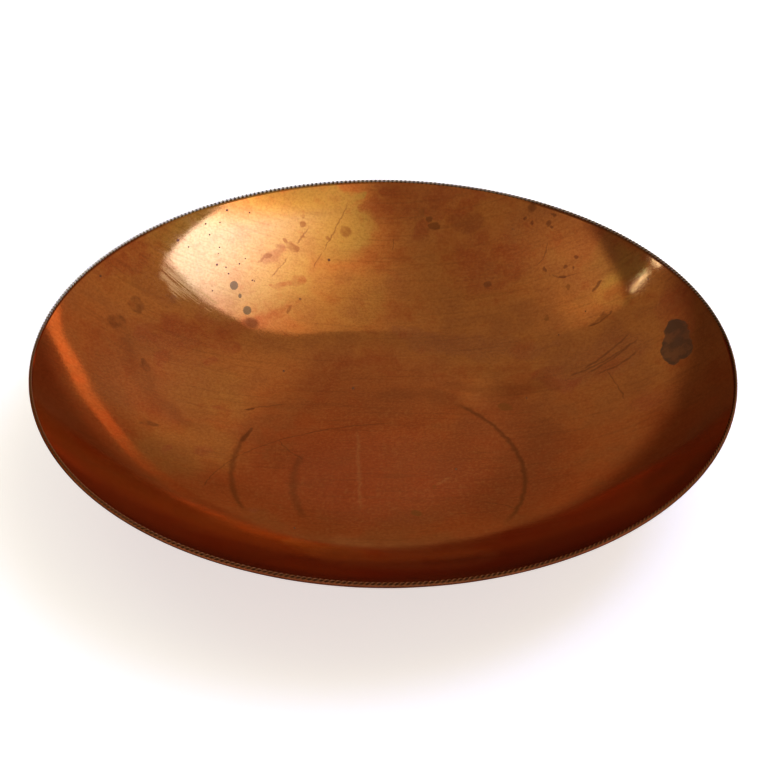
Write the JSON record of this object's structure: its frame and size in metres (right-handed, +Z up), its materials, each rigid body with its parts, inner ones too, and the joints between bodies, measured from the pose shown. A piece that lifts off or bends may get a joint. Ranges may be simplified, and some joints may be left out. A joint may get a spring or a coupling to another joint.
{
  "type": "serving bowl",
  "caption": "Wide round copper serving bowl: a shallow raised body with a curved wall, a twisted wire rim and a low ring foot.",
  "frame": {"origin": "on the surface the bowl stands on, at the middle of its foot", "axes": "+Z up through the middle of the bowl; the bowl is the same all round, and -Y faces the viewer"},
  "size_m": [0.3006, 0.3006, 0.054],
  "materials": {
    "polished_copper": "polished copper with brown tarnish, stains and fine wiping marks",
    "dark_copper": "twisted copper wire, dark tarnish in the grooves",
    "solder": "dull tarnished solder"
  },
  "bodies": {
    "root": {"bowl_body": "polished_copper", "rim_wire": "dark_copper", "foot_ring": "polished_copper", "foot_solder": "solder"}
  },
  "joints": []
}
